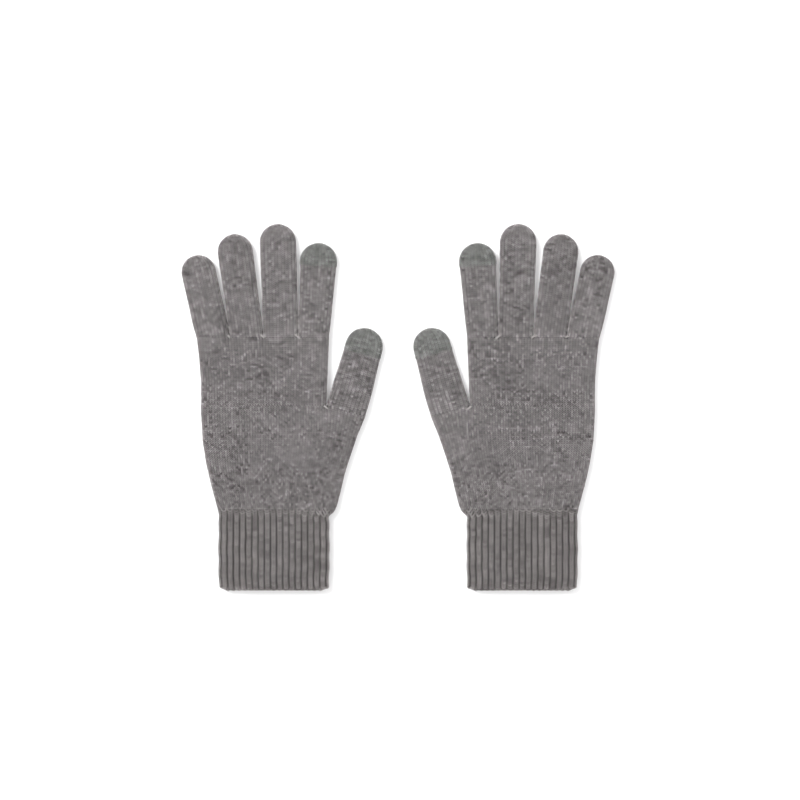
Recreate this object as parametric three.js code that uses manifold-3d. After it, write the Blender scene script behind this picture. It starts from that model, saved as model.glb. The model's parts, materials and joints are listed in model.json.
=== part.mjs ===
// A pair of plain knitted touchscreen gloves, lying flat and side by side.
//
// Units are millimetres, +Z is up, and the gloves lie on z = 0 with their fingers along +Y.
// The origin is on the table, midway between the two gloves. Both gloves have one shape, and
// the left one is the mirror image of the right one, so every place is given as [out, y]:
// out is the distance from the line between the gloves, and y is the distance along it.
// Each glove is a flattened tube of fabric. It is split where it folds, at the knuckles, the
// middle of each finger, the base and middle of the thumb, and the wrist, and every stretch is
// a sub-part. The far part of a fold has a round nose on the fold line, and the near part is
// cut back from it, so that the nose turns without touching.

import * as THREE from "three";
import { mergeVertices } from "three/addons/utils/BufferGeometryUtils.js";
import Module from "manifold-3d";

// ---------- driving dimensions ----------

const GAP = 0.3; // between sub-parts that touch
const HAND_THICK = 7.4; // both layers of the hand and the air between them
const FINGER_THICK = 6.4;
const CUFF_THICK = 9.6;
const HAND_WALL = 1.4; // one layer of the plain knit
const CUFF_WALL = 1.3;

const KNUCKLE_Y = 43.3; // the fold line that the four fingers share
const WRIST_Y = -60.4; // the fold line between hand and cuff
const CUFF_END_Y = -110.3;
const EDGE_HEIGHT = 3.0; // the bound-off edge at the mouth of the cuff

// Each finger: the middle and half width of its root, the centre and radius of its round tip,
// where it bends, and the length of its touch tip where it has one.
const FINGERS = {
  index: { root: 50.8, rootHalf: 9.1, tip: [47.9, 87.7], tipRadius: 11.2, bendY: 67, touch: 14 },
  middle: { root: 70.6, rootHalf: 10.3, tip: [72.3, 99.2], tipRadius: 11.1, bendY: 72 },
  ring: { root: 91.2, rootHalf: 9.9, tip: [97.9, 93.5], tipRadius: 10.8, bendY: 69.5 },
  little: { root: 111.4, rootHalf: 9.9, tip: [119.9, 81.2], tipRadius: 10.5, bendY: 63.5 },
};

// The thumb has its own frame: its origin is a point on the middle line, and +Y runs to the tip.
const THUMB = {
  origin: [28.5, 7.5],
  lean: THREE.MathUtils.degToRad(15.5),
  rootY: -5, // the fold line at the base of the thumb
  rootHalf: 11.9,
  tipY: 30.2,
  tipRadius: 11.2,
  bendY: 14,
  touch: 16,
};

// The binding stitches between the fingers and at the thumb.
const STITCH = { radius: 0.55, length: 4.6, turn: 0.9, back: 6.5 };
const THUMB_STITCH_AT = [43.5, -3.5];

const ELASTIC = { radius: 0.4, turns: 5, stepsPerTurn: 16, firstY: -102, lastY: -68 };

const CURVE_SEGMENTS = 5;
const BEVEL_SEGMENTS = 3;
const NOSE_SEGMENTS = 16;
const YARN_SEGMENTS = 3; // to a half turn of a yarn's section
const FLAT_EDGE = 0.4; // the straight band half-way up the rounded edge of the fabric
const FAR = 400; // larger than the pair, for cutting bodies

// ---------- materials ----------

const knit = { color: 0x7b7777, roughness: 0.95, metalness: 0 };
const ribKnit = { color: 0x726e6d, roughness: 0.95, metalness: 0 };
const touchKnit = { color: 0x7c7e7b, roughness: 0.85, metalness: 0.1 };
const elasticYarn = { color: 0x5c5a5a, roughness: 0.8, metalness: 0 };
const bindingThread = { color: 0x8f8c8b, roughness: 0.9, metalness: 0 };

// ---------- solids ----------

const wasm = await Module();
wasm.setup();

// A closed geometry as a manifold solid, moved by an optional matrix.
function solid(geometry, matrix) {
  geometry.deleteAttribute("normal");
  geometry.deleteAttribute("uv");
  if (matrix) geometry.applyMatrix4(matrix);
  const merged = mergeVertices(geometry, 1e-4);
  const mesh = new wasm.Mesh({
    numProp: 3,
    vertProperties: new Float32Array(merged.attributes.position.array),
    triVerts: new Uint32Array(merged.index.array),
  });
  return new wasm.Manifold(mesh);
}

function geometryOf(body) {
  const mesh = body.getMesh();
  const geometry = new THREE.BufferGeometry();
  const points = new Float32Array(mesh.vertProperties);
  geometry.setAttribute("position", new THREE.BufferAttribute(points, 3));
  geometry.setIndex(new THREE.BufferAttribute(new Uint32Array(mesh.triVerts), 1));
  geometry.computeVertexNormals();
  return geometry;
}

function moved(x, y, z) {
  return new THREE.Matrix4().makeTranslation(x, y, z);
}

// A flat body with a round edge, lying on z = lift, whose outline is the shape less inset.
function slab(shape, thick, inset = 0, lift = 0) {
  const round = (thick - FLAT_EDGE) / 2;
  const geometry = new THREE.ExtrudeGeometry(shape, {
    depth: FLAT_EDGE,
    curveSegments: CURVE_SEGMENTS,
    bevelThickness: round,
    bevelSize: round,
    bevelOffset: -round - inset,
    bevelSegments: BEVEL_SEGMENTS,
  });
  return solid(geometry, moved(0, 0, lift + round));
}

// The air inside a flat body of that thickness, one wall in from its outline.
function hollow(shape, thick, wall) {
  return slab(shape, thick - 2 * wall, wall, wall);
}

function block(low, high) {
  const size = high.map((value, i) => value - low[i]);
  const middle = high.map((value, i) => (value + low[i]) / 2);
  return solid(new THREE.BoxGeometry(...size), moved(...middle));
}

// Everything between two y values, as a block.
function band(lowY, highY) {
  return block([-FAR, lowY, -FAR], [FAR, highY, FAR]);
}

// Everything beyond a fold line at y, with a round nose on it. The fold line runs along X at
// half the thickness, and way is +1 where the part runs on along +Y and -1 along -Y.
function beyondFold(y, thick, way) {
  const nose = new THREE.CylinderGeometry(thick / 2, thick / 2, 2 * FAR, NOSE_SEGMENTS);
  const turned = new THREE.Matrix4().makeRotationZ(Math.PI / 2).setPosition(0, y, thick / 2);
  const rest = way > 0 ? band(y, FAR) : band(-FAR, y);
  return solid(nose, turned).add(rest);
}

// How far the near part of a fold stays back from the fold line.
function cutBack(thick) {
  return thick / 2 + GAP;
}

function outlineOf(side, points) {
  const shape = new THREE.Shape();
  shape.setFromPoints(points.map(([out, y]) => new THREE.Vector2(side * out, y)));
  return shape;
}

// ---------- the fabric tubes ----------

// A tapered finger with a round tip. Below the root it runs straight down by extra.
function fingerOutline(side, root, rootY, rootHalf, tip, tipRadius, extra) {
  const rise = Math.atan2(tip[1] - rootY, side * (tip[0] - root));
  const shape = new THREE.Shape();
  shape.moveTo(side * root - rootHalf, rootY - extra);
  shape.lineTo(side * root + rootHalf, rootY - extra);
  shape.lineTo(side * root + rootHalf, rootY);
  shape.absarc(side * tip[0], tip[1], tipRadius, rise - Math.PI / 2, rise + Math.PI / 2, false);
  shape.lineTo(side * root - rootHalf, rootY);
  return shape;
}

// One finger as a tube that is closed at its tip.
function fingerTube(side, root, rootY, rootHalf, tip, tipRadius) {
  const outline = (extra) => fingerOutline(side, root, rootY, rootHalf, tip, tipRadius, extra);
  const outside = slab(outline(6), FINGER_THICK);
  return outside.subtract(hollow(outline(12), FINGER_THICK, HAND_WALL));
}

// A finger tube as its lower, upper and touch tip stretches.
function fingerParts(name, tube, rootY, bendY, endY, touch) {
  const back = cutBack(FINGER_THICK);
  const lower = tube
    .intersect(beyondFold(rootY, FINGER_THICK, 1))
    .intersect(band(-FAR, bendY - back));
  const far = tube.intersect(beyondFold(bendY, FINGER_THICK, 1));
  const parts = [{ name: `${name}_lower`, body: lower, look: knit }];
  if (!touch) {
    parts.push({ name: `${name}_upper`, body: far, look: knit });
    return parts;
  }
  const seamY = endY - touch;
  const upper = far.intersect(band(-FAR, seamY - GAP));
  parts.push({ name: `${name}_upper`, body: upper, look: knit });
  parts.push({ name: `${name}_touch_tip`, body: far.intersect(band(seamY, FAR)), look: touchKnit });
  return parts;
}

// The palm and back of the hand without the thumb. It runs on past the knuckles and the wrist
// by extra, where it is cut.
function palmOutline(side, extra) {
  const top = KNUCKLE_Y + extra;
  const bottom = WRIST_Y - extra;
  const shape = new THREE.Shape();
  shape.moveTo(side * 121.2, top);
  shape.lineTo(side * 121.2, KNUCKLE_Y - 2);
  shape.quadraticCurveTo(side * 117.6, 16, side * 118, -8);
  shape.quadraticCurveTo(side * 117.4, -28, side * 108.2, WRIST_Y);
  shape.lineTo(side * 108.2, bottom);
  shape.lineTo(side * 40, bottom);
  shape.lineTo(side * 40, WRIST_Y);
  shape.lineTo(side * 46, -28);
  shape.quadraticCurveTo(side * 43, 2.7, side * 41.7, KNUCKLE_Y - 2);
  shape.lineTo(side * 41.7, top);
  return shape;
}

// A point of the thumb's own frame as [out, y].
function thumbPoint(across, along) {
  const [out, y] = THUMB.origin;
  const sin = Math.sin(THUMB.lean);
  const cos = Math.cos(THUMB.lean);
  return [out + across * cos - along * sin, y + across * sin + along * cos];
}

// The base of the thumb, from inside the palm to past the fold line of the thumb.
function thumbBaseOutline(side, extra) {
  const bottom = WRIST_Y - extra;
  const end = THUMB.rootY + extra;
  return outlineOf(side, [
    [62, bottom],
    [60, -34],
    [47, -8],
    thumbPoint(THUMB.rootHalf, THUMB.rootY - 4),
    thumbPoint(THUMB.rootHalf, end),
    thumbPoint(-THUMB.rootHalf, end),
    thumbPoint(-THUMB.rootHalf + 0.2, THUMB.rootY),
    [20.6, -5],
    [24.7, -17],
    [28.9, -29],
    [32.2, -40],
    [34.7, -50],
    [36.7, WRIST_Y],
    [36.7, bottom],
  ]);
}

function handBody(side) {
  const outside = slab(palmOutline(side, 6), HAND_THICK).add(
    slab(thumbBaseOutline(side, 6), HAND_THICK),
  );
  const air = hollow(palmOutline(side, 12), HAND_THICK, HAND_WALL).add(
    hollow(thumbBaseOutline(side, 12), HAND_THICK, HAND_WALL),
  );
  const fingersStart = KNUCKLE_Y - cutBack(FINGER_THICK);
  const cuffStart = WRIST_Y + cutBack(CUFF_THICK);
  const thumbCut = block(
    [-FAR / 4, THUMB.rootY - cutBack(FINGER_THICK), -FAR],
    [THUMB.rootHalf + 0.6, FAR / 4, FAR],
  );
  const flipped = side > 0 ? thumbCut : thumbCut.mirror([1, 0, 0]);
  const placed = flipped
    .rotate([0, 0, side * THREE.MathUtils.radToDeg(THUMB.lean)])
    .translate([side * THUMB.origin[0], THUMB.origin[1], 0]);
  return outside.subtract(air).intersect(band(cuffStart, fingersStart)).subtract(placed);
}

// ---------- the cuff ----------

const CUFF_INNER = 40.9; // the thumb side of the cuff
const CUFF_OUTER = 108.2;
const CUFF_MIDDLE_Y = (WRIST_Y + CUFF_END_Y) / 2;

// A slightly barrelled rectangle, cut square at its ends.
function cuffOutline(side, extra) {
  const top = WRIST_Y + extra;
  const bottom = CUFF_END_Y - extra;
  const shape = new THREE.Shape();
  const narrow = 0.7;
  shape.moveTo(side * (CUFF_INNER + narrow), top);
  shape.quadraticCurveTo(
    side * (CUFF_INNER - narrow), CUFF_MIDDLE_Y, side * (CUFF_INNER + narrow), bottom);
  shape.lineTo(side * (CUFF_OUTER - narrow), bottom);
  shape.quadraticCurveTo(
    side * (CUFF_OUTER + narrow), CUFF_MIDDLE_Y, side * (CUFF_OUTER - narrow), top);
  return shape;
}

function cuffTube(side) {
  const outside = slab(cuffOutline(side, 10), CUFF_THICK);
  return outside.subtract(hollow(cuffOutline(side, 20), CUFF_THICK, CUFF_WALL));
}

// The elastic yarn runs round and round inside the cuff, against its wall. One turn is a flat
// loop with round ends.
class ElasticPath extends THREE.Curve {
  constructor(side) {
    super();
    const inset = CUFF_WALL + GAP + ELASTIC.radius;
    this.end = CUFF_THICK / 2 - inset;
    this.middle = (side * (CUFF_INNER + CUFF_OUTER)) / 2;
    this.half = (CUFF_OUTER - CUFF_INNER) / 2 - 1 - inset - this.end;
  }

  // Steps are even in turns, not in length, so the round ends get as many as the flat sides.
  getUtoTmapping(u) {
    return u;
  }

  getPoint(t, target = new THREE.Vector3()) {
    const turn = t * ELASTIC.turns;
    const part = (turn % 1) * 4; // 0 to 1 top, 1 to 2 one end, 2 to 3 bottom, 3 to 4 other end
    const y = THREE.MathUtils.lerp(ELASTIC.firstY, ELASTIC.lastY, t);
    const along = part % 1;
    let x = this.middle;
    let z = CUFF_THICK / 2;
    if (part < 1) {
      x += THREE.MathUtils.lerp(-this.half, this.half, along);
      z += this.end;
    } else if (part < 2) {
      x += this.half + this.end * Math.sin(along * Math.PI);
      z += this.end * Math.cos(along * Math.PI);
    } else if (part < 3) {
      x += THREE.MathUtils.lerp(this.half, -this.half, along);
      z -= this.end;
    } else {
      x -= this.half + this.end * Math.sin(along * Math.PI);
      z -= this.end * Math.cos(along * Math.PI);
    }
    return target.set(x, y, z);
  }
}

function elasticGeometry(side) {
  const section = new THREE.Shape();
  section.absarc(0, 0, ELASTIC.radius, 0, 2 * Math.PI);
  return new THREE.ExtrudeGeometry(section, {
    steps: ELASTIC.turns * ELASTIC.stepsPerTurn,
    curveSegments: YARN_SEGMENTS,
    extrudePath: new ElasticPath(side),
  });
}

// ---------- the assembly ----------

function mesh(name, geometry, look) {
  const made = new THREE.Mesh(geometry, new THREE.MeshStandardMaterial(look));
  made.name = name;
  return made;
}

// A binding stitch lying on the hand, turned on the table by an angle.
function stitch(name, side, [out, y]) {
  const made = mesh(
    name,
    new THREE.CapsuleGeometry(STITCH.radius, STITCH.length - 2 * STITCH.radius, 2, 6),
    bindingThread,
  );
  made.position.set(side * out, y, HAND_THICK + GAP + STITCH.radius);
  made.rotation.z = -side * STITCH.turn;
  return made;
}

function thumb(hand, side) {
  const group = new THREE.Group();
  group.position.set(side * THUMB.origin[0], THUMB.origin[1], 0);
  group.rotation.z = side * THUMB.lean;
  const tip = [0, THUMB.tipY];
  const tube = fingerTube(side, 0, THUMB.rootY, THUMB.rootHalf, tip, THUMB.tipRadius);
  const endY = THUMB.tipY + THUMB.tipRadius;
  const parts = fingerParts(`${hand}_thumb`, tube, THUMB.rootY, THUMB.bendY, endY, THUMB.touch);
  for (const { name, body, look } of parts) group.add(mesh(name, geometryOf(body), look));
  return group;
}

function glove(hand, side) {
  const group = new THREE.Group();
  group.add(mesh(`${hand}_hand`, geometryOf(handBody(side)), knit));

  const cuff = cuffTube(side).intersect(beyondFold(WRIST_Y, CUFF_THICK, -1));
  const edgeTopY = CUFF_END_Y + EDGE_HEIGHT;
  const body = cuff.intersect(band(edgeTopY + GAP, FAR));
  const edge = cuff.intersect(band(CUFF_END_Y, edgeTopY));
  group.add(mesh(`${hand}_cuff`, geometryOf(body), ribKnit));
  group.add(mesh(`${hand}_cuff_edge`, geometryOf(edge), ribKnit));
  group.add(mesh(`${hand}_cuff_elastic`, elasticGeometry(side), elasticYarn));

  for (const [finger, f] of Object.entries(FINGERS)) {
    const tube = fingerTube(side, f.root, KNUCKLE_Y, f.rootHalf, f.tip, f.tipRadius);
    const endY = f.tip[1] + f.tipRadius;
    const parts = fingerParts(`${hand}_${finger}`, tube, KNUCKLE_Y, f.bendY, endY, f.touch);
    for (const part of parts) group.add(mesh(part.name, geometryOf(part.body), part.look));
  }

  const names = Object.keys(FINGERS);
  for (let i = 0; i + 1 < names.length; i += 1) {
    const [near, far] = [FINGERS[names[i]], FINGERS[names[i + 1]]];
    const between = (near.root + near.rootHalf + far.root - far.rootHalf) / 2;
    const name = `${hand}_${names[i]}_${names[i + 1]}_stitch`;
    group.add(stitch(name, side, [between, KNUCKLE_Y - STITCH.back]));
  }
  group.add(stitch(`${hand}_thumb_stitch`, side, THUMB_STITCH_AT));
  group.add(thumb(hand, side));
  return group;
}

const pair = new THREE.Group();
pair.add(glove("left", -1));
pair.add(glove("right", 1));

export default pair;
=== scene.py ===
"""A pair of plain grey knitted touchscreen gloves with ribbed cuffs, lying flat side by side.

Each glove is built as a glove machine knits it: tubes of plain knit for the hand, the four
fingers and the thumb, and a one by one rib for the cuff. A tube is a closed ground of fabric,
and Geometry Nodes lay the two legs of every stitch on it, row by row.
Inside this script lengths are millimetres, and meshes are scaled to metres when they are made.
Both gloves are worked out as the right one, with "out" running from the line between the
gloves to the little finger. side is +1 for the right glove and -1 for the left one.
"""
import json
import math
import bpy
import numpy as np
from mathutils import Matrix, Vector


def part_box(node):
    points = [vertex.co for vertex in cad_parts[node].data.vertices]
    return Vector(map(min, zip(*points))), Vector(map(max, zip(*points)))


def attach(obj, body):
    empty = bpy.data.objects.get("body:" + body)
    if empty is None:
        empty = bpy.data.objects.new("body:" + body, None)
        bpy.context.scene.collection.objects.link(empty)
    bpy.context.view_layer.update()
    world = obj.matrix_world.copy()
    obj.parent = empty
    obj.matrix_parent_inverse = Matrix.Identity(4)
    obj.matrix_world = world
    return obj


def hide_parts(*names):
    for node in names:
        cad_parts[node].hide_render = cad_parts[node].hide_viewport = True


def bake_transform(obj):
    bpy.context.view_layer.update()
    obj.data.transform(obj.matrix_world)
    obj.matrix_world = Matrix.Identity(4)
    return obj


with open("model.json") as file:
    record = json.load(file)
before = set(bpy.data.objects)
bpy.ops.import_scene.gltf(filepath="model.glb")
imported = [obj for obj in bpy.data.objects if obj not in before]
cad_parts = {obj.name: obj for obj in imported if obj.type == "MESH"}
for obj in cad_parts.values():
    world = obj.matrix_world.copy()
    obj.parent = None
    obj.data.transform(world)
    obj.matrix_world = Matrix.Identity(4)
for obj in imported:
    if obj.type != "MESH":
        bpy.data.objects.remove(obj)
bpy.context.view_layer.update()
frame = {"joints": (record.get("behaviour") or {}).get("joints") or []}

MM = 0.001

# ---------- the knit ----------
COURSE = 1.22  # height of a row of the plain knit
RIB_COURSE = 1.42
FINGER_WALES = 12  # columns of stitches across one face of a finger
HAND_WALES = 5 * FINGER_WALES  # four fingers and the thumb
RIBS = 19  # across one face of the cuff
YARN_RADIUS = 0.42
SINK = 0.34  # how far the ground lies under the middle of the yarn
GROUND = 0.8  # thickness of the ground
SEED = 7
NARROWEST_WALE = 1.05  # narrower columns, at a finger's tip, are drawn two as one
JOIN_REACH = 1.1  # the first row of a stretch is this much taller, to reach over the join
UNEVEN_SIZE = 0.05  # spread of a stitch's width and height
UNEVEN_YARN = 0.10  # spread of the yarn's thickness

# A leg of a stitch, as shares of the stitch: how far it stands out from the middle of the V,
# how much it leans, in radians, its half length and its half width.
LEG_SPREAD = 0.2
LEG_LEAN = 0.42
LEG_LENGTH = 0.76
LEG_WIDTH = 0.185
RIB_LEGS = {"spread": 0.23, "lean": 0.45, "length": 0.72, "width": 0.195, "radius": 0.5 * MM}

# The rib.
RIB_DEPTH = 0.75  # of a groove
RIB_WIDTH_SHARE = 0.78  # of a rib and its groove that the stitches of the rib fill
RIB_START = 0.8  # the grooves start this far below the top of the cuff
RIB_OPENING = 6.0  # and reach their depth over this length
RIB_FADE = 5.5  # the stitches narrow to the width of a rib over this length
RIB_TOP_WIDER = 0.34  # how much wider the stitches are at the very top
RIB_WIDEST = 3.4
RIB_FIRST_ROW = 0.9  # height of the first row, over that of the others
EDGE_CURL = 2.4  # the bound-off edge pulls in over this length
EDGE_PULL = 1.6  # and by this much at each side
EDGE_ROUNDING = 1.9  # the corners of the mouth are rounded off by this much
EDGE_THINNING = 1.3  # the mouth is this much thinner than the cuff, each way

# The row of small holes just above the rib, where the number of columns changes.
EYELET_ABOVE = 2.4  # the wrist fold
EYELET_HALF = 0.7
EYELET_DEPTH = 0.6

# The dips between the roots of two fingers, and between palm and thumb.
DIP_DEPTH = 0.93  # of the thickness
FINGER_DIP_HALF = 1.5
FINGER_DIP_FADE = 2.6  # down the palm
THUMB_DIP_HALF = 1.6
THUMB_DIP_FADE = 3.0

# A finger is narrower than its sub-part by this much on each side, and less so at its root.
FINGER_SLACK = 0.45
ROOT_SLACK_LESS = 0.3

# ---------- thicknesses of the tubes, from the middle of the yarn of one face to the other ----------
FINGER_HALF = 2.72
HAND_HALF = 3.1
CUFF_HALF = 3.9
FLOOR_GAP = 0.5  # from the table to the middle of the yarn

# ---------- joints and places, from the frame ----------
JOINTS = {j["name"]: j for j in frame["joints"]}


def joint_place(name):
    """Where a hinge is on the right glove, as (out, y) in millimetres."""
    x, y, _ = JOINTS[f"right_{name}"]["pos_m"]
    return np.array([x / MM, y / MM])


def node_box(name):
    """(lowest corner, highest corner) of a node of the right glove, in millimetres."""
    low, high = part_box(f"right_{name}")
    return np.array(low) / MM, np.array(high) / MM


KNUCKLE_Y = joint_place("middle_knuckle")[1]
WRIST_Y = joint_place("wrist_fold")[1]
RIB_TOP_Y = WRIST_Y - 0.8  # where the plain knit turns into rib
CUFF_END_Y = node_box("cuff_edge")[0][1]
EDGE_TOP_Y = node_box("cuff_edge")[1][1]
CUFF_LOW, CUFF_HIGH = node_box("cuff")
THUMB_ROOT = joint_place("thumb_base")
THUMB_BEND = joint_place("thumb_bend")
CROTCH = np.array([43.3, 1.5])  # where the thumb parts from the palm
THUMB_ROOT_HALF = 12.0  # half its width at the fold line
THUMB_TIP_RADIUS = 11.2
THUMB_TOUCH = 16.0  # length of its touch tip

FINGERS = ("index", "middle", "ring", "little")
TOUCH = ("index", "thumb")

# The little-finger side of the hand and the thumb side of the palm, as (y, out).
OUTER_EDGE = ((-61.2, 107.9), (-59, 108.7), (-47, 112.0), (-34, 115.0), (-20, 117.2),
              (-4, 118.1), (16, 118.3), (30, 119.4), (43.3, 121.0))
PALM_EDGE = ((1.5, 43.3), (20, 42.6), (43.3, 41.6))
THUMB_EDGE = ((-61.2, 38.2), (-59, 37.0), (-50, 34.7), (-40, 32.4), (-29, 28.9), (-17, 24.8),
              (-5, 19.8))

# Gathers, creases and soft waves of the top face: (out, y, turn in degrees, half length,
# half width, depth). A negative depth is a ridge.
CREASES = (
    (95.5, -53.0, -40, 5.5, 1.9, 1.7),
    (86.8, -52.5, 6, 3.6, 1.4, 1.3),
    (62.2, -51.5, 12, 4.2, 1.5, 1.4),
    (77.5, -55.5, -8, 2.8, 1.2, 0.9),
    (69.5, -56.0, 12, 2.6, 1.2, 0.9),
    (53.5, -54.5, 30, 3.5, 1.4, 1.1),
    (102.5, -47.0, -30, 7.0, 2.4, 1.59),
    (50.0, -43.5, 73, 16.0, 4.4, 2.5),
    (78.0, -46.0, 82, 9.0, 3.6, 0.87),
    (91.0, -47.5, -60, 5.0, 2.6, -1.01),
    (71.0, -50.0, -12, 4.0, 2.8, -1.01),
    (49.5, -53.5, 62, 5.0, 2.0, -1.16),
    (82.0, -50.5, 20, 3.4, 2.0, -0.72),
    (80.0, -20.0, 86, 22.0, 9.0, 0.45),
    (64.0, 12.0, 70, 16.0, 8.0, 0.35),
    (65.3, 41.8, 98, 2.4, 0.5, 0.7),
    (84.6, 42.4, 84, 1.8, 0.5, 0.5),
    (47.2, -0.9, 88, 2.6, 0.5, 0.8),
    (40.6, -2.6, 104, 2.4, 0.5, 0.6),
)
FINGER_CREASES = {
    "little": ((116.6, 65.4, 100, 4.6, 0.5, 0.7),),
    "index": ((49.0, 60.0, 92, 4.0, 1.2, 0.3),),
}


# ---------- small helpers ----------
def smooth(x):
    """0 up to 0 and 1 from 1 on, with a smooth turn between."""
    x = np.clip(x, 0.0, 1.0)
    return x * x * (3 - 2 * x)


def along_table(table, at):
    """A value from a table of (where, value) pairs."""
    where, value = np.array(table, float).T
    return np.interp(at, where, value)


def crease_depth(creases, out, y):
    """How far the creases press the top face down at each place."""
    depth = np.zeros_like(out)
    for at_out, at_y, turn, half_length, half_width, deep in creases:
        angle = math.radians(turn)
        way = (math.sin(angle), math.cos(angle))
        long = (out - at_out) * way[0] + (y - at_y) * way[1]
        short = (out - at_out) * way[1] - (y - at_y) * way[0]
        depth += deep * np.exp(-((short / half_width) ** 2) - (long / half_length) ** 4)
    return depth


def waves(out, y):
    """Slow unevenness of fabric that was only laid down."""
    return (0.16 * np.sin(out * 0.21 + 1.3 * np.sin(y * 0.06))
            + 0.12 * np.sin(y * 0.17 + 1.1 * np.sin(out * 0.09 + 2.0)))


def flat_loop(turn, half_width, half_thick):
    """A flat loop with round ends: turn 0 to 0.5 is the top from the inner edge to the outer
    edge, and 0.5 to 1 is the underside back again. Gives x over half_width and z over half_thick."""
    top = turn < 0.5
    part = np.where(top, turn * 2, 2 - turn * 2)
    flat = np.maximum(half_width - half_thick, 0)
    arc = math.pi / 2 * half_thick
    run = part * (2 * flat + 2 * arc)
    first = run < arc
    last = run > arc + 2 * flat
    start_angle = np.clip(run / half_thick, 0, math.pi / 2)
    end_angle = np.clip((run - arc - 2 * flat) / half_thick, 0, math.pi / 2)
    x = np.where(first, -flat - half_thick * np.cos(start_angle), run - arc - flat)
    x = np.where(last, flat + half_thick * np.sin(end_angle), x)
    z = np.where(first, np.sin(start_angle), 1.0)
    z = np.where(last, np.cos(end_angle), z)
    return x / half_width, np.where(top, z, -z)


def rib_wave(turn):
    """1 on the crest of a rib and -1 in the groove."""
    return np.cos(2 * math.pi * (turn * 2 * RIBS - 0.5))


def lens(x):
    """The flat tube is a little fuller in the middle than near its edges."""
    return 0.74 + 0.26 * (1 - x * x)


# ---------- the tubes of plain knit: each gives the place of (turn, run) as out, y, z ----------
class Digit:
    """A finger or the thumb. run is 0 at its fold line, and goes on round the tip."""

    wales = FINGER_WALES

    def __init__(self, name, root, bend):
        self.name = name
        self.root = root
        self.way = (bend - root) / np.linalg.norm(bend - root)
        self.across = np.array([self.way[1], -self.way[0]])
        self.bend_run = np.linalg.norm(bend - root)
        self.low, self.high = node_box(f"{name}_touch_tip" if name in TOUCH else f"{name}_upper")

    def measure(self, root_half, tip_radius):
        """Sets what depends on the widths at the root and at the tip."""
        self.root_half = root_half
        self.tip_radius = tip_radius
        self.length = (self.high[1] - tip_radius - self.root[1]) / self.way[1]
        self.end = self.length + tip_radius * math.pi / 2
        self.touch_run = None

    def half_width(self, run, over):
        share = np.clip(run / self.length, 0, 1)
        half = self.root_half + (self.tip_radius - self.root_half) * share
        half = half + 0.15 * np.sin(math.pi * share)
        if self.touch_run is not None:
            half = half + 0.22 * smooth((run - self.touch_run) / 0.6)
        half = half - FINGER_SLACK + ROOT_SLACK_LESS * (1 - smooth((run - 10) / 16))
        return half * np.cos(over) + 0.02

    def place(self, turn, run):
        turn, run = np.broadcast_arrays(turn, run)
        over = np.clip((run - self.length) / self.tip_radius, 0, math.pi / 2 * 0.995)
        half = self.half_width(run, over)
        thick = HAND_HALF + (FINGER_HALF - HAND_HALF) * smooth(run / 9)
        thick = np.minimum(thick * np.sqrt(np.cos(over)), half * 0.95)
        x, z = flat_loop(turn, half, thick)
        straight = np.minimum(run, self.length) + (self.tip_radius - 0.25) * np.sin(over)
        out, y = self.spread(straight, run, x * half)
        middle = FLOOR_GAP + thick + (FINGER_HALF - thick) * smooth(over * 2)
        height = z * thick * (1 - (1 - lens(x)) * smooth((run + 1) / 8))
        pressed = crease_depth(self.creases, out, y) + 0.7 * waves(out * 1.4, y)
        height = height - np.where(z > 0, pressed * z, 0)
        return np.stack([out, y, middle + height], -1)


class Finger(Digit):
    """A finger, whose rows start level with the palm's and then turn square to the finger."""

    def __init__(self, name):
        super().__init__(name, joint_place(f"{name}_knuckle"), joint_place(f"{name}_bend"))
        lower_low, lower_high = node_box(f"{name}_lower")
        slope = self.way[0] / self.way[1]
        line = self.root[0] + slope * (self.high[1] - self.root[1])
        if slope > 0:
            self.measure(self.root[0] - lower_low[0], (self.high[0] - line) / (1 - slope))
        else:
            self.measure(lower_high[0] - self.root[0], (line - self.low[0]) / (1 + slope))
        if name in TOUCH:
            self.touch_run = self.length + self.tip_radius - (self.high[1] - self.low[1])
        self.creases = FINGER_CREASES.get(name, ())

    def spread(self, straight, run, sideways):
        lean = math.atan2(self.way[0], self.way[1]) * smooth((run + 1) / 11)
        on = np.maximum(straight, 0)
        out = self.root[0] + self.way[0] * on + sideways * np.cos(lean)
        y = self.root[1] + self.way[1] * on + np.minimum(run, 0) - sideways * np.sin(lean)
        return out, y


class Thumb(Digit):
    """The thumb, which starts below its fold line, at the crotch."""

    def __init__(self):
        super().__init__("thumb", THUMB_ROOT, THUMB_BEND)
        self.measure(THUMB_ROOT_HALF, THUMB_TIP_RADIUS)
        self.touch_run = self.length + self.tip_radius - THUMB_TOUCH
        self.start = float((CROTCH - self.root) @ self.way)
        self.creases = CREASES

    def spread(self, straight, run, sideways):
        sideways = sideways + 0.35 * (1 - smooth((run - self.start) / 12))
        out = self.root[0] + self.way[0] * straight + self.across[0] * sideways
        y = self.root[1] + self.way[1] * straight + self.across[1] * sideways
        return out, y


class Palm:
    """The hand above the thumb crotch. run is y."""

    wales = 4 * FINGER_WALES

    def __init__(self, crotches):
        self.crotches = crotches

    def place(self, turn, run):
        turn, run = np.broadcast_arrays(turn, run)
        inner = along_table(PALM_EDGE, run)
        outer = along_table(OUTER_EDGE, run)
        half = (outer - inner) / 2 - 0.1
        thick = np.full_like(half, HAND_HALF)
        x, z = flat_loop(turn, half, thick)
        out = (inner + outer) / 2 + x * half
        dip = np.zeros_like(out)
        for at in self.crotches:
            across = (out - at) / FINGER_DIP_HALF
            dip += np.exp(-(across**2) - (KNUCKLE_Y - run) / FINGER_DIP_FADE)
        height = z * thick * lens(x) * (1 - np.clip(dip, 0, DIP_DEPTH))
        pressed = crease_depth(CREASES, out, run) + waves(out, run)
        height = height - np.where(z > 0, pressed * z, 0)
        return np.stack([out, run + 0 * out, FLOOR_GAP + thick + height], -1)


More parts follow.
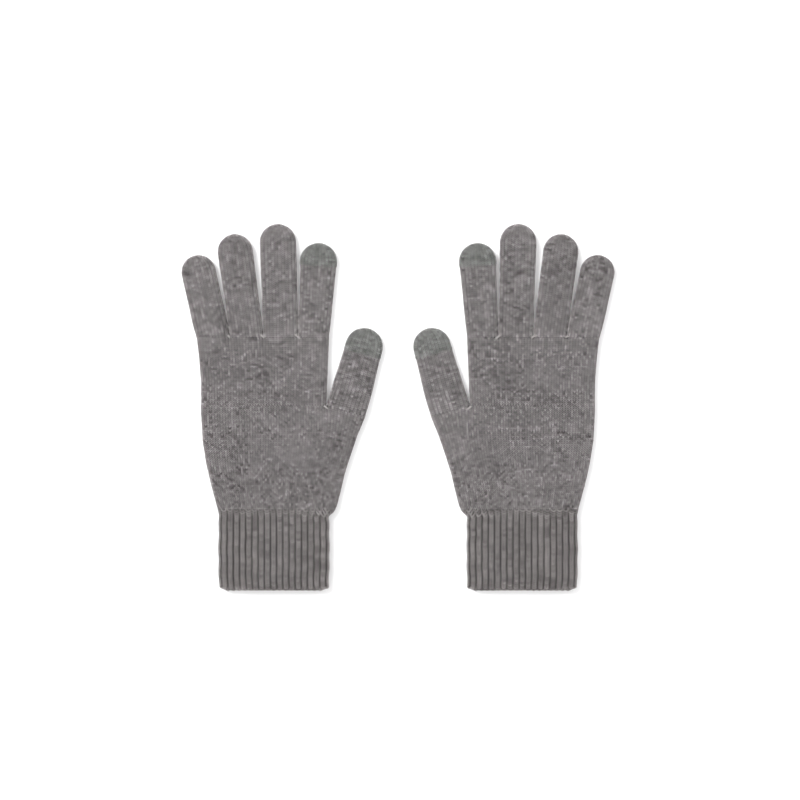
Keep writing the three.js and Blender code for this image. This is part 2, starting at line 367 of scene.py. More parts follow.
class LowerHand:
    """The hand below the thumb crotch, with the root of the thumb. run goes from 0 at the
    crotch to 1 at the wrist."""

    wales = HAND_WALES

    def place(self, turn, run):
        turn, run = np.broadcast_arrays(turn, run)
        end_y = RIB_TOP_Y
        outer_y = CROTCH[1] + (end_y - CROTCH[1]) * run
        thumb_y = THUMB_EDGE[-1][0] + (end_y - THUMB_EDGE[-1][0]) * run
        outer = along_table(OUTER_EDGE, outer_y)
        inner = along_table(THUMB_EDGE, thumb_y)
        half = (outer - inner) / 2
        thick = HAND_HALF + 0.5 * smooth((run - 0.85) / 0.15)
        x, z = flat_loop(turn, half, thick)
        share = (x + 1) / 2
        fold = FINGER_WALES / HAND_WALES
        parting = CROTCH[0] + (inner + fold * (outer - inner) - CROTCH[0]) * smooth(run * 1.2)
        in_thumb = share < fold
        near = np.clip(share / fold, 0, 1)
        far = np.clip((share - fold) / (1 - fold), 0, 1)
        out = np.where(in_thumb, inner + (parting - inner) * near, parting + (outer - parting) * far)
        y = np.where(in_thumb, thumb_y + (outer_y - thumb_y) * near, outer_y)
        across = (out - CROTCH[0]) / THUMB_DIP_HALF
        dip = np.exp(-(across**2) + (y - CROTCH[1]) / THUMB_DIP_FADE)
        height = z * thick * lens(x) * (1 - np.clip(dip, 0, DIP_DEPTH))
        pressed = crease_depth(CREASES, out, y) + waves(out, y)
        eyelet = np.exp(-(((y - WRIST_Y - EYELET_ABOVE) / EYELET_HALF) ** 2))
        eyelet = eyelet * (1 - rib_wave(turn)) / 2
        pressed = pressed + eyelet * (EYELET_DEPTH + 0.35 * np.sin(x * 23))
        height = height - np.where(z > 0, pressed * z, 0)
        return np.stack([out, y, FLOOR_GAP + thick + height], -1)


class Cuff:
    """The one by one rib. run is the distance down from its top."""

    wales = RIBS

    def __init__(self):
        self.top = RIB_TOP_Y
        self.end = self.top - CUFF_END_Y - 0.25

    def place(self, turn, run):
        turn, run = np.broadcast_arrays(turn, run)
        y = self.top - run
        share = np.clip(run / self.end, 0, 1)
        inner = CUFF_LOW[0] + 0.5 + 0.5 * (1 - np.sin(math.pi * share)) + 0.2 * np.sin(run * 0.5)
        outer = CUFF_HIGH[0] - 0.5 - 0.5 * (1 - np.sin(math.pi * share)) - 0.2 * np.sin(run * 0.43 + 1)
        join = smooth(run / 5)
        bulge = (along_table(THUMB_EDGE, self.top) - inner) * (1 - join)
        outer = outer + (along_table(OUTER_EDGE, self.top) - outer) * (1 - join)
        curl = smooth((run - self.end + EDGE_CURL) / EDGE_CURL)
        half = (outer - inner) / 2 - EDGE_PULL * curl * curl
        thick = HAND_HALF + 0.5 + (CUFF_HALF - HAND_HALF - 0.5) * smooth(run / 6)
        thick = thick - EDGE_THINNING * curl * curl
        middle = FLOOR_GAP + thick + 0.5 * curl * curl
        rib = rib_wave(turn)
        depth = RIB_DEPTH * smooth((run - RIB_START) / RIB_OPENING) * (1 - rib) / 2
        x, z = flat_loop(turn, half - depth * 0.9, thick)
        height = z * thick * lens(x)
        fade = 1 - smooth((run - 2) / 10)
        pressed = crease_depth(CREASES, (inner + outer) / 2 + x * half, y) * fade
        pressed = pressed + 0.3 * np.sin(x * 7 + 0.05 * run) * np.sin(share * 2.6) + depth
        height = height - np.where(z > 0, pressed * z, depth * z)
        out = (inner + outer) / 2 + x * (half - depth * 0.9) + bulge * np.clip(-x, 0, 1) ** 2
        rounding = EDGE_ROUNDING * (np.maximum(np.abs(x) - 0.9, 0) / 0.1) ** 2 * curl
        scallop = 0.4 * (1 - rib) / 2 * curl + rounding
        return np.stack([out, y + scallop, middle + height], -1)


# ---------- grids ----------
def grid_of(tube, turns, runs):
    return tube.place(turns[None, :], runs[:, None])


def normals_of(grid):
    """Outward unit normals of a closed loop grid."""
    across = np.roll(grid, -1, 1) - np.roll(grid, 1, 1)
    along = np.gradient(grid, axis=0)
    normal = np.cross(across, along)
    length = np.linalg.norm(normal, axis=2, keepdims=True)
    normal = normal / np.maximum(length, 1e-9)
    middle = grid.shape[1] // 4
    return normal if normal[grid.shape[0] // 3, middle, 2] > 0 else -normal


def ground_mesh(tube, turns, runs, closed_end=False):
    """The ground as a closed shell: (points, quads). The grid is sunk under the yarn."""
    grid = grid_of(tube, turns, runs)
    normal = normals_of(grid)
    outside = grid - normal * SINK
    inside = grid - normal * (SINK + GROUND)
    rows, cols = grid.shape[:2]
    points = [outside.reshape(-1, 3), inside.reshape(-1, 3)]
    half = rows * cols
    faces = []
    row, col = np.meshgrid(np.arange(rows - 1), np.arange(cols), indexing="ij")
    a = row * cols + col
    b = row * cols + (col + 1) % cols
    faces.append(np.stack([a, b, b + cols, a + cols], -1).reshape(-1, 4))
    faces.append(np.stack([a, a + cols, b + cols, b], -1).reshape(-1, 4) + half)
    col = np.arange(cols)
    nxt = (col + 1) % cols
    faces.append(np.stack([nxt, col, col + half, nxt + half], -1))
    last = (rows - 1) * cols
    if closed_end:
        tips = [outside[-1].mean(0), inside[-1].mean(0)]
        points.append(np.array(tips))
        apex = 2 * half
        faces.append(np.stack([last + col, last + nxt, apex + 0 * col, apex + 0 * col], -1))
        faces.append(np.stack([last + half + nxt, last + half + col, apex + 1 + 0 * col,
                               apex + 1 + 0 * col], -1))
    else:
        faces.append(np.stack([col, nxt, nxt + half, col + half], -1) + last)
    return outward(np.concatenate(points), np.concatenate(faces))


def outward(points, faces):
    """The same closed quads, turned so that they face out."""
    a, b, c, d = (points[faces[:, i]] for i in range(4))
    volume = (np.cross(a, b) * c).sum() + (np.cross(a, c) * d).sum()
    return points, faces if volume > 0 else faces[:, ::-1]


def stitch_rows(tube, runs, wales, draw, merge=True, width_share=1.0):
    """Where the stitches of some rows lie, and how: place, normal, wale direction, size and
    tone. runs are the edges of the rows. merge draws narrow columns two as one."""
    found = []
    for low, high in zip(runs[:-1], runs[1:]):
        run = (low + high) / 2
        count = 2 * wales
        edge = tube.place(np.arange(count) / count, np.full(count, run))
        width = np.linalg.norm(edge - np.roll(edge, -1, 0), axis=1).mean()
        step = 1
        while merge and width * step < NARROWEST_WALE and count // step > 6:
            step *= 2
        turn = (np.arange(0, count, step) + step / 2) / count
        run = np.full(len(turn), run)
        place = tube.place(turn, run)
        small = 0.12 / count
        across = tube.place(turn + small, run) - tube.place(turn - small, run)
        near = (high - low) * 0.25
        along = tube.place(turn, run + near) - tube.place(turn, run - near)
        normal = np.cross(across, along)
        normal /= np.maximum(np.linalg.norm(normal, axis=1, keepdims=True), 1e-9)
        if normal[len(turn) // 4, 2] < 0:
            normal = -normal
        if along[:, 1].sum() < 0:
            along = -along
        wide = np.linalg.norm(across, axis=1) / (2 * small) / count * step * width_share
        square = np.cross(normal, across)
        square *= np.sign((square * along).sum(1, keepdims=True))
        tall = np.linalg.norm(along, axis=1) * 2
        along /= np.maximum(np.linalg.norm(along, axis=1, keepdims=True), 1e-9)
        along += square / np.maximum(np.linalg.norm(square, axis=1, keepdims=True), 1e-9)
        along /= np.linalg.norm(along, axis=1, keepdims=True)
        uneven = draw.normal(0, 1, (len(turn), 4))
        size = np.stack([wide * (1 + UNEVEN_SIZE * uneven[:, 0]),
                         tall * (1 + UNEVEN_SIZE * uneven[:, 1]),
                         1 + UNEVEN_YARN * uneven[:, 2]], -1)
        if not found:
            size[:, 1] *= JOIN_REACH
        found.append((place, normal, along, size, uneven[:, 3]))
    return [np.concatenate(part) for part in zip(*found)]


def rows_between(low, high, pitch):
    return np.linspace(low, high, max(2, round(abs(high - low) / pitch) + 1))


# ---------- meshes ----------
def mirrored(points, side):
    return points * np.array([side, 1, 1])


def plain_mesh(name, points, faces, side):
    """A mesh in metres, with its faces turned outwards. Quads whose last corners agree are
    triangles."""
    points = mirrored(points, side) * MM
    faces = [tuple(dict.fromkeys(f)) for f in faces.tolist()]
    if side < 0:
        faces = [f[::-1] for f in faces]
    mesh = bpy.data.meshes.new(name)
    mesh.from_pydata(points.tolist(), [], faces)
    mesh.update()
    return mesh


def add_object(name, mesh):
    made = bpy.data.objects.new(name, mesh)
    bpy.context.scene.collection.objects.link(made)
    return made


def write_attribute(mesh, name, kind, values):
    attribute = mesh.attributes.new(name, kind, "POINT")
    key = "vector" if kind == "FLOAT_VECTOR" else "value"
    attribute.data.foreach_set(key, np.asarray(values, np.float32).ravel())


def stitch_points(mesh_name, ground, stitches, side):
    """One mesh with the ground's faces and a loose point for every stitch, which carries how
    the stitch is turned and how large it is."""
    points, faces = ground
    place, normal, along, size, tone = stitches
    mesh = plain_mesh(mesh_name, np.concatenate([points, place]), faces, side)
    blank = np.zeros((len(points), 3))
    write_attribute(mesh, "is_stitch", "FLOAT", np.r_[np.zeros(len(points)), np.ones(len(place))])
    write_attribute(mesh, "facing", "FLOAT_VECTOR", np.concatenate([blank, mirrored(normal, side)]))
    write_attribute(mesh, "wale", "FLOAT_VECTOR", np.concatenate([blank, mirrored(along, side)]))
    write_attribute(mesh, "size", "FLOAT_VECTOR", np.concatenate([blank, size * MM]))
    write_attribute(mesh, "tone", "FLOAT", np.r_[np.zeros(len(points)), tone])
    return mesh


# ---------- node helpers ----------
def add(tree, kind, links=None, **settings):
    """Adds a node. links gives its inputs, each a value or another node's output socket."""
    node = tree.nodes.new(kind)
    for name, value in settings.items():
        setattr(node, name, value)
    for key, value in (links or {}).items():
        socket = node.inputs[key]
        if isinstance(value, bpy.types.NodeSocket):
            tree.links.new(value, socket)
        else:
            socket.default_value = value
    return node


def linear(text, alpha=1.0):
    """An sRGB hex colour as linear RGBA."""
    parts = [int(text[i:i + 2], 16) / 255 for i in (0, 2, 4)]
    return [p / 12.92 if p <= 0.04045 else ((p + 0.055) / 1.055) ** 2.4 for p in parts] + [alpha]


# ---------- materials ----------
def yarn_material(name, dark, light, heather, fibre_mm, sheen, roughness, tone_share=0.18):
    """Spun yarn: short staple fibres give it a matt, slightly fuzzy face, with soft flecks of
    lighter and darker fibre, and a little sheen where it turns away. heather is the size of a
    fleck in mm, and tone_share is how much whole stitches differ."""
    material = bpy.data.materials.new(name)
    material.use_nodes = True
    tree = material.node_tree
    tree.nodes.clear()
    place = add(tree, "ShaderNodeTexCoord")
    fleck = add(tree, "ShaderNodeTexNoise", {"Vector": place.outputs["Object"],
                "Scale": 1 / (heather * MM), "Detail": 2.0, "Roughness": 0.6})
    cloud = add(tree, "ShaderNodeTexNoise", {"Vector": place.outputs["Object"],
                "Scale": 1 / (14 * MM), "Detail": 2.0, "Roughness": 0.5})
    tone = add(tree, "ShaderNodeAttribute", attribute_name="tone")
    toned = add(tree, "ShaderNodeMath", {0: tone.outputs["Fac"], 1: tone_share,
                2: fleck.outputs["Fac"]}, operation="MULTIPLY_ADD")
    clouded = add(tree, "ShaderNodeMath", {0: cloud.outputs["Fac"], 1: 0.4, 2: toned.outputs[0]},
                  operation="MULTIPLY_ADD")
    share = add(tree, "ShaderNodeMapRange", {"Value": clouded.outputs[0], "From Min": 0.2,
                "From Max": 1.2})
    colour = add(tree, "ShaderNodeMix", {0: share.outputs[0], 6: linear(dark), 7: linear(light)},
                 data_type="RGBA")
    fibre = add(tree, "ShaderNodeTexNoise", {"Vector": place.outputs["Object"],
                "Scale": 1 / (fibre_mm * MM), "Detail": 2.0, "Roughness": 0.7})
    bump = add(tree, "ShaderNodeBump", {"Height": fibre.outputs["Fac"], "Strength": 0.5,
               "Distance": 0.1 * MM})
    shader = add(tree, "ShaderNodeBsdfPrincipled", {"Base Color": colour.outputs[2],
                 "Roughness": roughness, "IOR": 1.5, "Specular IOR Level": 0.25,
                 "Sheen Weight": sheen, "Sheen Roughness": 0.5, "Normal": bump.outputs["Normal"]})
    add(tree, "ShaderNodeOutputMaterial", {"Surface": shader.outputs["BSDF"]})
    return material


def make_materials():
    """Acrylic knit, the same yarn deep in the fabric coloured far darker as painted shade between the
    stitches, rib and its grooves in painted shade, conductive knit with its ground in painted shade,
    covered elastic and the twisted binding thread."""
    return {
        "knit": yarn_material("spun_acrylic_plain_knit", "524e4e", "b5b0b0", 0.9, 0.22, 0.1, 0.92),
        # the ground under the stitches is the same yarn coloured near black: painted shade for the
        # gaps between the legs
        "ground": yarn_material("yarn_in_painted_shade_under_the_stitches", "151414", "292727", 1.5, 0.3,
                                0.0, 0.97),
        "rib": yarn_material("spun_acrylic_rib_knit", "302c2b", "b5afae", 0.9, 0.22, 0.1, 0.92,
                             0.17),
        # the grooves of the rib are the rib yarn coloured darker: painted shade in the grooves
        "rib_groove_painted_shade": yarn_material("rib_yarn_in_painted_groove_shade", "343231", "535150", 1.2, 0.3,
                                    0.0, 0.97),
        "touch": yarn_material("acrylic_with_conductive_fibre", "51514f", "a9aaa7", 0.9, 0.2, 0.16,
                               0.82),
        # the ground under the touch-tip stitches is the conductive yarn coloured darker: painted shade
        # between the legs
        "touch_painted_shade": yarn_material("conductive_knit_under_the_stitches", "2c2d2b", "434441", 1.2,
                                      0.3, 0.0, 0.9),
        "elastic": yarn_material("covered_rubber_elastic", "3a3838", "5b5958", 1.0, 0.2, 0.1, 0.7),
        "thread": yarn_material("twisted_binding_thread", "8f8b89", "b8b4b2", 1.0, 0.15, 0.12,
                                0.85),
    }


# ---------- Geometry Nodes: the legs of the stitches ----------
def new_input(tree, name, kind, value=None):
    socket = tree.interface.new_socket(name, in_out="INPUT", socket_type=kind)
    if value is not None:
        socket.default_value = value
    return socket.identifier


def stitch_tree():
    """Lays a two-legged stitch on every stitch point, and keeps the ground under them."""
    tree = bpy.data.node_groups.new("plain_knit_stitches", "GeometryNodeTree")
    names = {"mesh": new_input(tree, "Fabric", "NodeSocketGeometry")}
    names["radius"] = new_input(tree, "Yarn radius", "NodeSocketFloat", YARN_RADIUS * MM)
    names["spread"] = new_input(tree, "Leg spread", "NodeSocketFloat", LEG_SPREAD)
    names["lean"] = new_input(tree, "Leg lean", "NodeSocketFloat", LEG_LEAN)
    names["length"] = new_input(tree, "Leg length", "NodeSocketFloat", LEG_LENGTH)
    names["width"] = new_input(tree, "Leg width", "NodeSocketFloat", LEG_WIDTH)
    names["yarn"] = new_input(tree, "Yarn", "NodeSocketMaterial")
    # the Ground material is coloured dark as painted shade under the stitches
    names["ground"] = new_input(tree, "Ground", "NodeSocketMaterial")
    tree.interface.new_socket("Fabric", in_out="OUTPUT", socket_type="NodeSocketGeometry")
    entry = add(tree, "NodeGroupInput")
    given = entry.outputs
    mark = add(tree, "GeometryNodeInputNamedAttribute", {"Name": "is_stitch"}, data_type="FLOAT")
    is_stitch = add(tree, "FunctionNodeCompare", {0: mark.outputs[0], 1: 0.5},
                    data_type="FLOAT", operation="GREATER_THAN")
    parts = add(tree, "GeometryNodeSeparateGeometry",
                {"Geometry": given["Fabric"], "Selection": is_stitch.outputs[0]}, domain="POINT")
    legs = add(tree, "GeometryNodeJoinGeometry")
    for way in (1, -1):
        blob = add(tree, "GeometryNodeMeshUVSphere", {"Segments": 4, "Rings": 3, "Radius": 1.0})
        size = add(tree, "ShaderNodeCombineXYZ", {"X": given["Leg width"],
                   "Y": given["Leg length"], "Z": 0.4})
        shift = add(tree, "ShaderNodeMath", {0: given["Leg spread"], 1: float(way)},
                    operation="MULTIPLY")
        tilt = add(tree, "ShaderNodeMath", {0: given["Leg lean"], 1: -float(way)},
                   operation="MULTIPLY")
        at = add(tree, "ShaderNodeCombineXYZ", {"X": shift.outputs[0], "Y": 0.0, "Z": 0.0})
        turn = add(tree, "ShaderNodeCombineXYZ", {"X": 0.0, "Y": 0.0, "Z": tilt.outputs[0]})
        upright = add(tree, "GeometryNodeTransform", {"Geometry": blob.outputs["Mesh"],
                      "Rotation": (math.pi / 2, 0.0, 0.0)})
        leg = add(tree, "GeometryNodeTransform", {"Geometry": upright.outputs[0],
                  "Scale": size.outputs[0]})
        placed = add(tree, "GeometryNodeTransform", {"Geometry": leg.outputs[0],
                     "Translation": at.outputs[0], "Rotation": turn.outputs[0]})
        tree.links.new(placed.outputs[0], legs.inputs[0])
    facing = add(tree, "GeometryNodeInputNamedAttribute", {"Name": "facing"},
                 data_type="FLOAT_VECTOR")
    wale = add(tree, "GeometryNodeInputNamedAttribute", {"Name": "wale"}, data_type="FLOAT_VECTOR")
    size = add(tree, "GeometryNodeInputNamedAttribute", {"Name": "size"}, data_type="FLOAT_VECTOR")
    turned = add(tree, "FunctionNodeAxesToRotation", {"Primary Axis": facing.outputs[0],
                 "Secondary Axis": wale.outputs[0]}, primary_axis="Z", secondary_axis="Y")
    split = add(tree, "ShaderNodeSeparateXYZ", {"Vector": size.outputs[0]})
    high = add(tree, "ShaderNodeMath", {0: split.outputs["Z"], 1: 1 / MM}, operation="MULTIPLY")
    deep = add(tree, "ShaderNodeMath", {0: high.outputs[0], 1: given["Yarn radius"]},
               operation="MULTIPLY")
    deeper = add(tree, "ShaderNodeMath", {0: deep.outputs[0], 1: 2.5}, operation="MULTIPLY")
    scale = add(tree, "ShaderNodeCombineXYZ", {"X": split.outputs["X"], "Y": split.outputs["Y"],
                "Z": deeper.outputs[0]})
    laid = add(tree, "GeometryNodeInstanceOnPoints", {"Points": parts.outputs["Selection"],
               "Instance": legs.outputs[0], "Rotation": turned.outputs[0],
               "Scale": scale.outputs[0]})
    real = add(tree, "GeometryNodeRealizeInstances", {"Geometry": laid.outputs[0]})
    soft = add(tree, "GeometryNodeSetShadeSmooth", {"Geometry": real.outputs[0]})
    stitches = add(tree, "GeometryNodeSetMaterial", {"Geometry": soft.outputs[0],
                   "Material": given["Yarn"]})
    even = add(tree, "GeometryNodeSetShadeSmooth", {"Geometry": parts.outputs["Inverted"]})
    base = add(tree, "GeometryNodeSetMaterial", {"Geometry": even.outputs[0],
               "Material": given["Ground"]})
    both = add(tree, "GeometryNodeJoinGeometry")
    tree.links.new(base.outputs[0], both.inputs[0])
    tree.links.new(stitches.outputs[0], both.inputs[0])
    add(tree, "NodeGroupOutput", {"Fabric": both.outputs[0]})
    return tree, names


def knitted(name, ground, stitches, side, yarn, ground_shade_look, **sizes):
    """A piece of knit as one plain mesh: its ground and all its stitches."""
    tree, names = KNIT_TREE
    carrier = add_object("carrier", stitch_points(name, ground, stitches, side))
    modifier = carrier.modifiers.new("knit", "NODES")
    modifier.node_group = tree
    modifier[names["yarn"]] = yarn
    # the ground takes a material coloured dark as painted shade between the stitches
    modifier[names["ground"]] = ground_shade_look
    for key, value in sizes.items():
        modifier[names[key]] = value
    bpy.context.view_layer.update()
    shown = carrier.evaluated_get(bpy.context.evaluated_depsgraph_get())
    mesh = bpy.data.meshes.new_from_object(shown)
    bpy.data.objects.remove(carrier)
    mesh.name = name
    mesh.materials.pop(index=0)  # the carrier's own empty slot
    for unused in ("is_stitch", "facing", "wale", "size"):
        if unused in mesh.attributes:
            mesh.attributes.remove(mesh.attributes[unused])
    return add_object(name, mesh)


LOOKS = make_materials()
KNIT_TREE = stitch_tree()


# ---------- the pieces ----------
def split_faces(stitches):
    """The stitches of the top face, and those of the underside."""
    top = stitches[1][:, 2] >= 0
    return [part[top] for part in stitches], [part[~top] for part in stitches]


def joined_grounds(grounds):
    """Several closed grounds as one list of points and quads."""
    points, faces, count = [], [], 0
    for some_points, some_faces in grounds:
        points.append(some_points)
        faces.append(some_faces + count)
        count += len(some_points)
    return np.concatenate(points), np.concatenate(faces)


def joined_stitches(parts):
    return [np.concatenate(part) for part in zip(*parts)]


NO_GROUND = (np.zeros((0, 3)), np.zeros((0, 4), int))
FOLD_BEFORE = 1.0  # the fabric starts to turn this far before a knuckle
FOLD_AFTER = 9.0
BEND_BEFORE = 3.0


def hand_pieces(hand, side, palm, lower, thumb, draw):
    """The ground of the hand, and the stitches of its two faces."""
    body = f"{hand}_hand"
    palm_rows = rows_between(KNUCKLE_Y - FOLD_BEFORE, CROTCH[1], COURSE)
    lower_rows = np.linspace(0, 1, round((CROTCH[1] - WRIST_Y) / COURSE) + 1)
    thumb_rows = rows_between(thumb.start, -FOLD_BEFORE, COURSE)
    grounds, stitches = [], []
    for tube, rows in ((palm, palm_rows), (lower, lower_rows), (thumb, thumb_rows)):
        around = 2 * tube.wales
        grounds.append(ground_mesh(tube, np.arange(around) / around, rows))
        stitches.append(stitch_rows(tube, rows, tube.wales, draw))
    top, under = split_faces(joined_stitches(stitches))
    ground = joined_grounds(grounds)
    made = [knitted(f"{hand}_hand_back_knit", ground, top, side, LOOKS["knit"], LOOKS["ground"]),
            knitted(f"{hand}_hand_palm_knit", NO_GROUND, under, side, LOOKS["knit"],
                    LOOKS["ground"])]
    for piece in made:
        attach(piece, body)
        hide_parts(f"{hand}_hand")


def digit_stretch(name, digit, low, high, side, draw, touch=False, closed=False):
    """A stretch of a finger or thumb between two runs."""
    rows = rows_between(low, high, COURSE)
    around = 2 * digit.wales
    ground = ground_mesh(digit, np.arange(around) / around, rows, closed)
    stitches = stitch_rows(digit, rows, digit.wales, draw)
    # under is the ground material, coloured dark as painted shade between the stitches
    yarn, under = ("touch", "touch_painted_shade") if touch else ("knit", "ground")
    return knitted(name, ground, stitches, side, LOOKS[yarn], LOOKS[under])


def digit_pieces(hand, side, digit, draw):
    """The lower and upper stretch of a finger or thumb, and its touch tip."""
    node = f"{hand}_{digit.name}"
    seam = digit.bend_run - BEND_BEFORE
    end = digit.touch_run if digit.touch_run is not None else digit.end
    in_thumb = digit.name == "thumb"

    def at(run):
        """The middle of the digit at that run. Fingers fold about lines along X."""
        out, y = digit.root + digit.way * run
        if not in_thumb:
            y = digit.root[1] + run if run <= FOLD_AFTER else digit.root[1] + digit.way[1] * run
        return out, y

    lower = digit_stretch(f"{node}_lower_knit", digit, -FOLD_BEFORE, seam, side, draw)
    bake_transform(lower)
    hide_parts(f"{node}_lower")

    upper = digit_stretch(f"{node}_upper_knit", digit, seam, end, side, draw,
                          closed=digit.touch_run is None)
    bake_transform(upper)
    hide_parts(f"{node}_upper")

    if digit.touch_run is not None:
        tip = digit_stretch(f"{node}_touch_tip_knit", digit, end, digit.end, side, draw,
                            touch=True, closed=True)
        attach(tip, f"{node}_upper")
        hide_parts(f"{node}_touch_tip")


def cuff_pieces(hand, side, cuff, draw):
    """The rib, its bound-off edge, and the chain of loops that binds it off."""
    edge_run = cuff.top - EDGE_TOP_Y
    turns = np.arange(RIBS * 12) / (RIBS * 12)
    parts = (("cuff", 0.0, edge_run), ("cuff_edge", edge_run, cuff.end))
    for node, low, high in parts:
        ground = ground_mesh(cuff, turns, rows_between(low, high, RIB_COURSE / 2))
        rows = rows_between(low, high, RIB_COURSE)
        stitches = stitch_rows(cuff, rows, RIBS, draw, merge=False, width_share=RIB_WIDTH_SHARE)
        from_top = cuff.top - stitches[0][:, 1]
        width, height = stitches[3][:, 0], stitches[3][:, 1]
        width *= 1 + RIB_TOP_WIDER * smooth(1 - from_top / RIB_FADE)
        np.minimum(width, RIB_WIDEST, out=width)
        height[:2 * RIBS] *= RIB_FIRST_ROW
        stitches[4] = np.tanh(stitches[4])  # no single stitch stands out in tone
        if node == "cuff_edge":
            stitches = joined_stitches([stitches, chain_stitches(cuff, draw)])
        # the rib's ground is coloured as painted shade in its grooves
        piece = knitted(f"{hand}_{node}_knit", ground, stitches, side, LOOKS["rib"],
                        LOOKS["rib_groove_painted_shade"], **RIB_LEGS)
        if node == "cuff":
            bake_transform(piece)
        else:
            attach(piece, f"{hand}_cuff")
        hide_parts(f"{hand}_{node}")


def chain_stitches(cuff, draw):
    """The bound-off chain: loops that lie along the mouth, two to a rib."""
    count = 4 * RIBS
    turn = (np.arange(count) + 0.5) / count
    run = np.full(count, cuff.end)
    place = cuff.place(turn, run)
    along = np.roll(place, -1, 0) - np.roll(place, 1, 0)
    tall = np.linalg.norm(along, axis=1, keepdims=True)
    normal = np.tile([0.0, -1.0, 0.0], (count, 1))
    uneven = draw.normal(0, 1, (count, 3))
    size = np.stack([1.5 * (1 + 0.06 * uneven[:, 0]), tall[:, 0] * 0.62,
                     0.8 + 0.05 * uneven[:, 1]], -1)
    return [place + [0, 0.35, 0], normal, along / tall, size, uneven[:, 2]]


def swept(path, radius, sides, swell=None):
    """A closed tube along a path, with flat ends: (points, quads)."""
    way = np.gradient(path, axis=0)
    way /= np.linalg.norm(way, axis=1, keepdims=True)
    upright = np.cross(way, [0.0, 1.0, 0.0])
    upright /= np.maximum(np.linalg.norm(upright, axis=1, keepdims=True), 1e-9)
    other = np.cross(way, upright)
    angle = np.arange(sides) / sides * 2 * math.pi
    length = np.r_[0, np.cumsum(np.linalg.norm(np.diff(path, axis=0), axis=1))]
    size = np.full((len(path), sides), radius)
    if swell is not None:
        size = size * swell(angle[None, :], length[:, None])
    ring = (upright[:, None] * np.cos(angle)[None, :, None]
            + other[:, None] * np.sin(angle)[None, :, None])
    points = path[:, None] + ring * size[..., None]
    rows, cols = points.shape[:2]
    row, col = np.meshgrid(np.arange(rows - 1), np.arange(cols), indexing="ij")
    a = row * cols + col
    b = row * cols + (col + 1) % cols
    faces = [np.stack([a, b, b + cols, a + cols], -1).reshape(-1, 4)]
    col = np.arange(cols)
    nxt = (col + 1) % cols
    last = (rows - 1) * cols
    ends = rows * cols
    faces.append(np.stack([nxt, col, 0 * col + ends, 0 * col + ends], -1))
    faces.append(np.stack([last + col, last + nxt, 0 * col + ends + 1, 0 * col + ends + 1], -1))
    points = np.concatenate([points.reshape(-1, 3), path[:1], path[-1:]])
    return outward(points, np.concatenate(faces))


def soft_piece(name, parts, side, look):
    mesh = plain_mesh(name, *joined_grounds(parts), side)
    mesh.materials.append(look)
    for polygon in mesh.polygons:
        polygon.use_smooth = True
    return add_object(name, mesh)


ELASTIC_TURNS = 5
ELASTIC_STEPS = 220  # to a turn
ELASTIC_TWIST = 2.6  # length of one wrap of the covering thread
ELASTIC_RADIUS = 0.38
ELASTIC_HALF = 1.5  # half the height of one turn


def elastic_piece(hand, side, cuff):
    """The covered elastic yarn, laid in round and round inside the rib."""
    low, high = node_box("cuff_elastic")
    share = np.linspace(0, 1, ELASTIC_TURNS * ELASTIC_STEPS)
    turn = (share * ELASTIC_TURNS) % 1
    half = (high[0] - low[0]) / 2 - 1.2
    x, z = flat_loop(turn, np.full_like(turn, half), np.full_like(turn, ELASTIC_HALF))
    out = (low[0] + high[0]) / 2 + x * half
    y = low[1] + 0.5 + (high[1] - low[1] - 1) * share
    path = np.stack([out, y, FLOOR_GAP + CUFF_HALF + z * ELASTIC_HALF], -1)

    def wrapped(angle, length):
        return 1 + 0.16 * np.cos(3 * angle - length * 2 * math.pi / ELASTIC_TWIST)

    piece = soft_piece(f"{hand}_cuff_elastic_yarn", [swept(path, ELASTIC_RADIUS, 9, wrapped)], side,
                       LOOKS["elastic"])
    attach(piece, f"{hand}_cuff")
    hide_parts(f"{hand}_cuff_elastic")


BAR_TURN = math.radians(38)  # of a binding stitch, from square across
BAR_STRAND = 0.27  # radius of a strand
BAR_PLY = 1.1  # length of one twist of the thread
BAR_APART = 0.24  # of a strand from the middle of the bar
BAR_HALF = {"index_middle": 2.3, "middle_ring": 1.8, "ring_little": 1.2, "thumb": 1.5}


def binding_piece(hand, side, name, out, y):
    """A binding stitch: two strands of twisted thread drawn tight over the crotch."""
    strands = []
    half_length = BAR_HALF[name]
    for shift in (-BAR_APART, BAR_APART):
        along = np.linspace(-1, 1, 15)
        rise = 2 * HAND_HALF + FLOOR_GAP + 0.15 + 0.35 * np.cos(along * math.pi / 2) - 1.6 * along**4
        way = np.array([math.cos(BAR_TURN), math.sin(BAR_TURN)])
        square = np.array([-way[1], way[0]])
        flat = np.array([out, y]) + along[:, None] * way * half_length + square * shift
        path = np.column_stack([flat, rise])

        def plied(angle, length):
            return 1 + 0.12 * np.cos(2 * angle - length * 2 * math.pi / BAR_PLY)

        strands.append(swept(path, BAR_STRAND, 8, plied))
    piece = soft_piece(f"{hand}_{name}_stitch_thread", strands, side, LOOKS["thread"])
    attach(piece, f"{hand}_hand")
    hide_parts(f"{hand}_{name}_stitch")


def glove(hand, side):
    draw = np.random.default_rng(SEED + side)
    fingers = [Finger(name) for name in FINGERS]
    crotches = []
    for near, far in zip(fingers[:-1], fingers[1:]):
        crotches.append((near.root[0] + near.root_half + far.root[0] - far.root_half) / 2)
    thumb = Thumb()
    cuff = Cuff()
    hand_pieces(hand, side, Palm(crotches), LowerHand(), thumb, draw)
    for digit in fingers + [thumb]:
        digit_pieces(hand, side, digit, draw)
    cuff_pieces(hand, side, cuff, draw)
    elastic_piece(hand, side, cuff)
    for near, far, at in zip(FINGERS[:-1], FINGERS[1:], crotches):
        binding_piece(hand, side, f"{near}_{far}", at + 0.2, KNUCKLE_Y - 0.6)
    binding_piece(hand, side, "thumb", CROTCH[0] - 0.2, CROTCH[1] - 1.4)


glove("left", -1)
glove("right", 1)


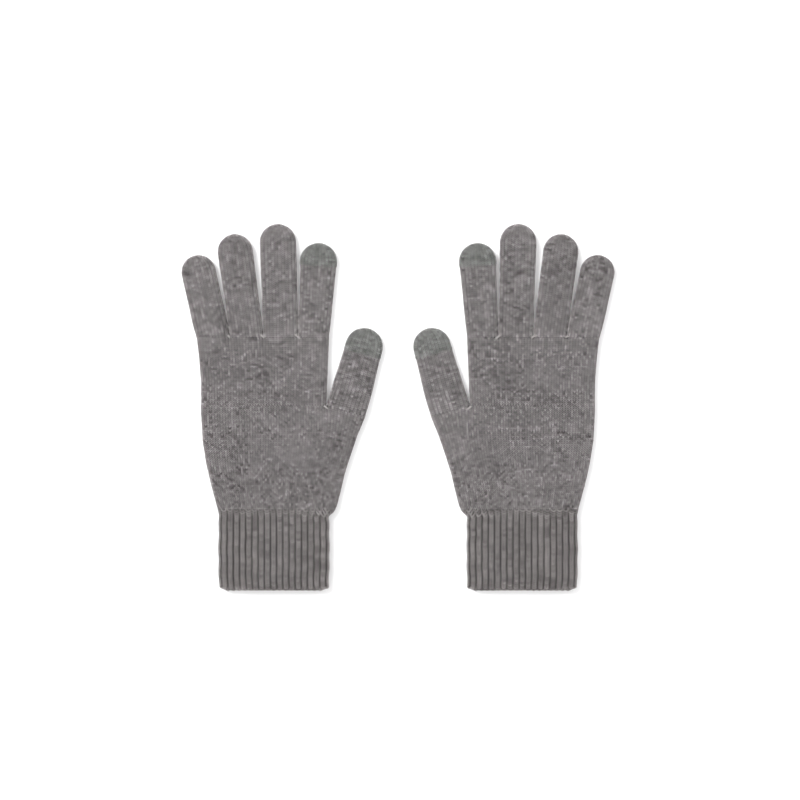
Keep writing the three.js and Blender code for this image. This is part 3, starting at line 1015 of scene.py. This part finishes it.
# ---------- floor, light and camera ----------
def make_floor():
    """A white light table, well past what the camera sees: a little light comes up through it,
    so it stays white between the fingers."""
    half = 3.0
    mesh = bpy.data.meshes.new("floor")
    mesh.from_pydata([(-half, -half, 0.0), (half, -half, 0.0), (half, half, 0.0),
                      (-half, half, 0.0)], [], [(0, 1, 2, 3)])
    material = bpy.data.materials.new("white_light_table")
    material.use_nodes = True
    shader = material.node_tree.nodes["Principled BSDF"]
    shader.inputs["Base Color"].default_value = linear("f4f4f4")
    shader.inputs["Roughness"].default_value = 0.9
    shader.inputs["Specular IOR Level"].default_value = 0.1
    shader.inputs["Emission Color"].default_value = (1, 1, 1, 1)
    shader.inputs["Emission Strength"].default_value = 0.2
    mesh.materials.append(material)
    add_object("floor", mesh)


def area_light(name, at, size, power):
    lamp = bpy.data.lights.new(name, "AREA")
    lamp.shape = "SQUARE"
    lamp.size = size
    lamp.energy = power
    made = bpy.data.objects.new(name, lamp)
    made.location = at
    made.rotation_euler = (-Vector(at)).to_track_quat("-Z", "Y").to_euler()
    bpy.context.scene.collection.objects.link(made)


def make_lights():
    """A broad key from the upper left, a weak fill, and an even white room that keeps the table
    white right up to the gloves."""
    area_light("key", (-1.3, 1.1, 1.9), 1.1, 66)
    area_light("fill", (1.3, -0.5, 2.0), 1.6, 14)
    world = bpy.data.worlds.new("studio")
    world.use_nodes = True
    world.node_tree.nodes["Background"].inputs["Color"].default_value = (1, 1, 1, 1)
    world.node_tree.nodes["Background"].inputs["Strength"].default_value = 0.72
    bpy.context.scene.world = world


VIEW_WIDTH = 0.481  # metres of the table across the view
VIEW_MIDDLE = (0.0012, 0.0045)
GLOVE_MIDDLE_Z = 0.004  # height that the width is measured at
LENS = 100.0
SENSOR = 36.0


def make_camera():
    """Straight above the table."""
    camera = bpy.data.cameras.new("camera")
    camera.lens = LENS
    camera.sensor_width = SENSOR
    made = bpy.data.objects.new("camera", camera)
    made.location = (*VIEW_MIDDLE, VIEW_WIDTH * LENS / SENSOR + GLOVE_MIDDLE_Z)
    bpy.context.scene.collection.objects.link(made)
    bpy.context.scene.camera = made


make_floor()
make_lights()
make_camera()
bpy.context.scene.view_settings.view_transform = "Standard"
